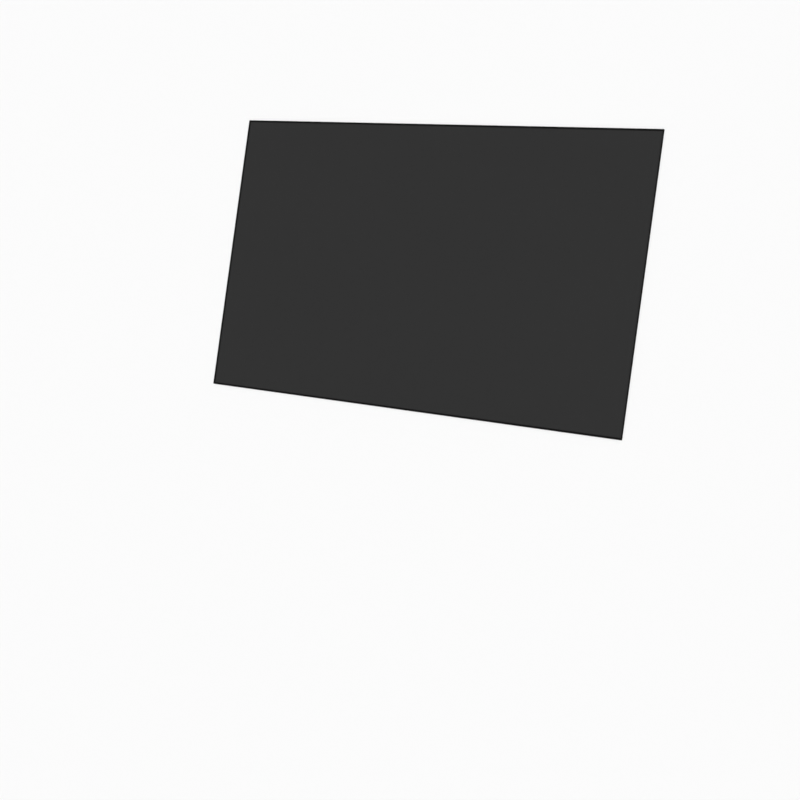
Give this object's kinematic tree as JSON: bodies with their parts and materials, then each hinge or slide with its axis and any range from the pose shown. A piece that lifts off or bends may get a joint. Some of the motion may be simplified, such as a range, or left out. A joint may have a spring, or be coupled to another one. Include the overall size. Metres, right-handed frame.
{
  "type": "laptop privacy filter",
  "caption": "Flat rectangular sheet of dark smoked louvre film with square corners, laid over a laptop display so that the screen goes dark when it is seen from the side.",
  "frame": {"origin": "middle of the back face, the one that goes against the display, which is also the face that the sheet lies on", "axes": "seen from the front of the display, +X runs to the right along the long side and +Y up along the short side; +Z is out of the front face, through the thickness"},
  "size_m": [0.344, 0.194, 0.0005],
  "materials": {
    "smoked_film": "satin"
  },
  "bodies": {
    "root": {"filter_sheet": "smoked_film"}
  },
  "joints": []
}
